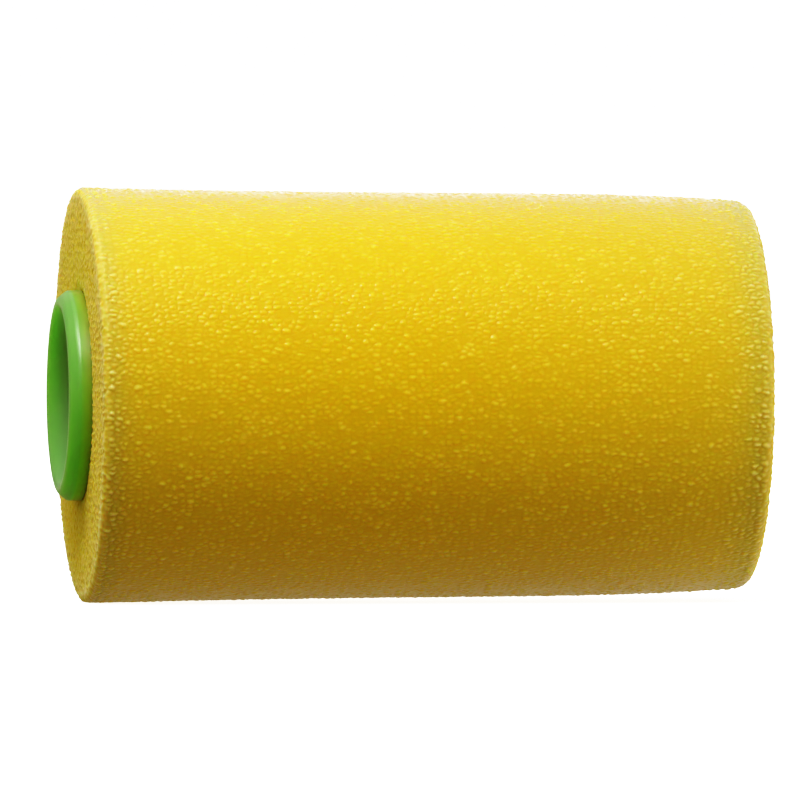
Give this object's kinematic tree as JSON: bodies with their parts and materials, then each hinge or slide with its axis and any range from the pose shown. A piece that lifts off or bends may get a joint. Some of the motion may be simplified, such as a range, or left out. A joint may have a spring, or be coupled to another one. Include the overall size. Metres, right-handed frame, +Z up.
{
  "type": "foam paint roller head",
  "caption": "Small foam paint-roller sleeve on a plastic core, with a dished green end cap and a spindle sleeve that turns on a wire frame.",
  "frame": {"origin": "on the roller axis, at the middle of the foam's length", "axes": "+X along the roller axis from the dished end cap to the open end where the wire goes in, +Z up"},
  "size_m": [0.0634, 0.037, 0.037],
  "materials": {
    "foam": "open-cell polyurethane foam, golden yellow, cut surface",
    "core_plastic": "extruded polypropylene, natural",
    "green_plastic": "moulded, glossy, slightly translucent green",
    "bearing_plastic": "moulded acetal, natural white, satin"
  },
  "bodies": {
    "spindle": {"spindle_sleeve": "bearing_plastic"},
    "roller_head": {"foam_sleeve": "foam", "core_tube": "core_plastic", "end_cap": "green_plastic", "end_bush": "green_plastic"}
  },
  "joints": [
    {"name": "roller_spin", "type": "hinge", "parent": "spindle", "child": "roller_head", "pos_m": [0, 0, 0], "axis": [1, 0, 0], "continuous": true}
  ]
}
